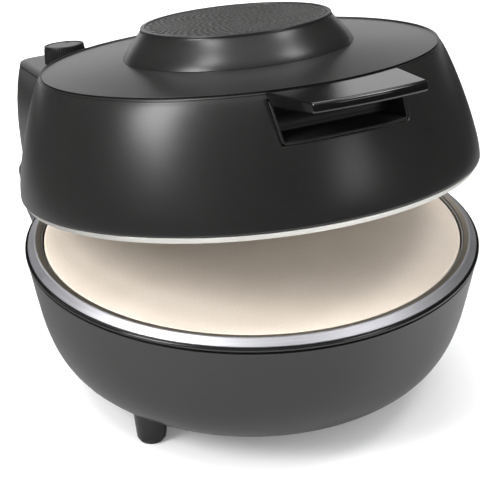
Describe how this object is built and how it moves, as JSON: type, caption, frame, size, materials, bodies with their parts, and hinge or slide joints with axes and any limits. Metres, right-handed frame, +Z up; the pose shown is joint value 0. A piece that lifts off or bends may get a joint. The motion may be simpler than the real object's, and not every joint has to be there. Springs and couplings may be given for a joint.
{
  "type": "electric pizza maker",
  "caption": "Countertop pizza maker: round bowl on feet with a baking stone, and a domed, heated lid with a front handle, hinged at the rear.",
  "frame": {"origin": "on the table, under the middle of the part's box with the lid ajar as at rest", "axes": "+Z up, the handle faces -Y, the hinge is at +Y"},
  "size_m": [0.3373, 0.4107, 0.2872],
  "materials": {
    "satin_black": "satin charcoal moulding",
    "gloss_black": "gloss black moulding",
    "black_matte": "matt black moulding",
    "deck_metal": "brushed bare metal",
    "ring_metal": "pale satin metal",
    "sheet": "aluminised sheet",
    "rod": "heat-darkened steel tube",
    "steel": "zinc-plated steel",
    "stone": "cream unglazed stone",
    "pad": "soft black rubber",
    "ceramic": "white ceramic",
    "inlay": "pale grey satin"
  },
  "bodies": {
    "base": {"bowl_shell": "satin_black", "deck_ring": "deck_metal", "reflector_pan": "sheet", "lower_element": "rod", "lower_element_clips": "steel", "heat_shield": "sheet", "pan_studs": "steel", "thermal_cutout": "ceramic", "feet": "gloss_black", "foot_pads": "pad", "foot_screws": "steel", "rear_base_housing": "satin_black", "terminal_block": "ceramic", "cord_bush": "black_matte", "hinge_brackets": "steel", "hinge_pins": "steel", "bracket_screws": "steel"},
    "stone": {"baking_stone": "stone"},
    "lid": {"lid_shell": "satin_black", "lid_ring": "ring_metal", "lid_liner": "sheet", "lid_heat_shield": "sheet", "upper_element": "rod", "upper_element_clips": "steel", "dome_cover": "satin_black", "vent_grille": "black_matte", "handle_bezel": "gloss_black", "handle_grip": "gloss_black", "handle_screws": "steel", "upper_rear_housing": "satin_black", "wiring_plate": "black_matte", "plate_screws": "steel", "thermostat": "ceramic"},
    "knob": {"thermostat_shaft": "steel", "control_knob": "black_matte", "knob_inlay": "inlay"}
  },
  "joints": [
    {"name": "lid_hinge", "type": "hinge", "parent": "base", "child": "lid", "pos_m": [0, 0.1863, 0.129], "axis": [-1, 0, 0], "range_deg": [-10.8, 69.2]},
    {"name": "stone_lift", "type": "slide", "parent": "base", "child": "stone", "axis": [0, 0, 1], "range_m": [0, 0.015]},
    {"name": "knob_turn", "type": "hinge", "parent": "lid", "child": "knob", "pos_m": [-0.0715, 0.15105, 0.20037], "axis": [0, 0.1874, 0.9823], "range_deg": [-90, 180]}
  ]
}
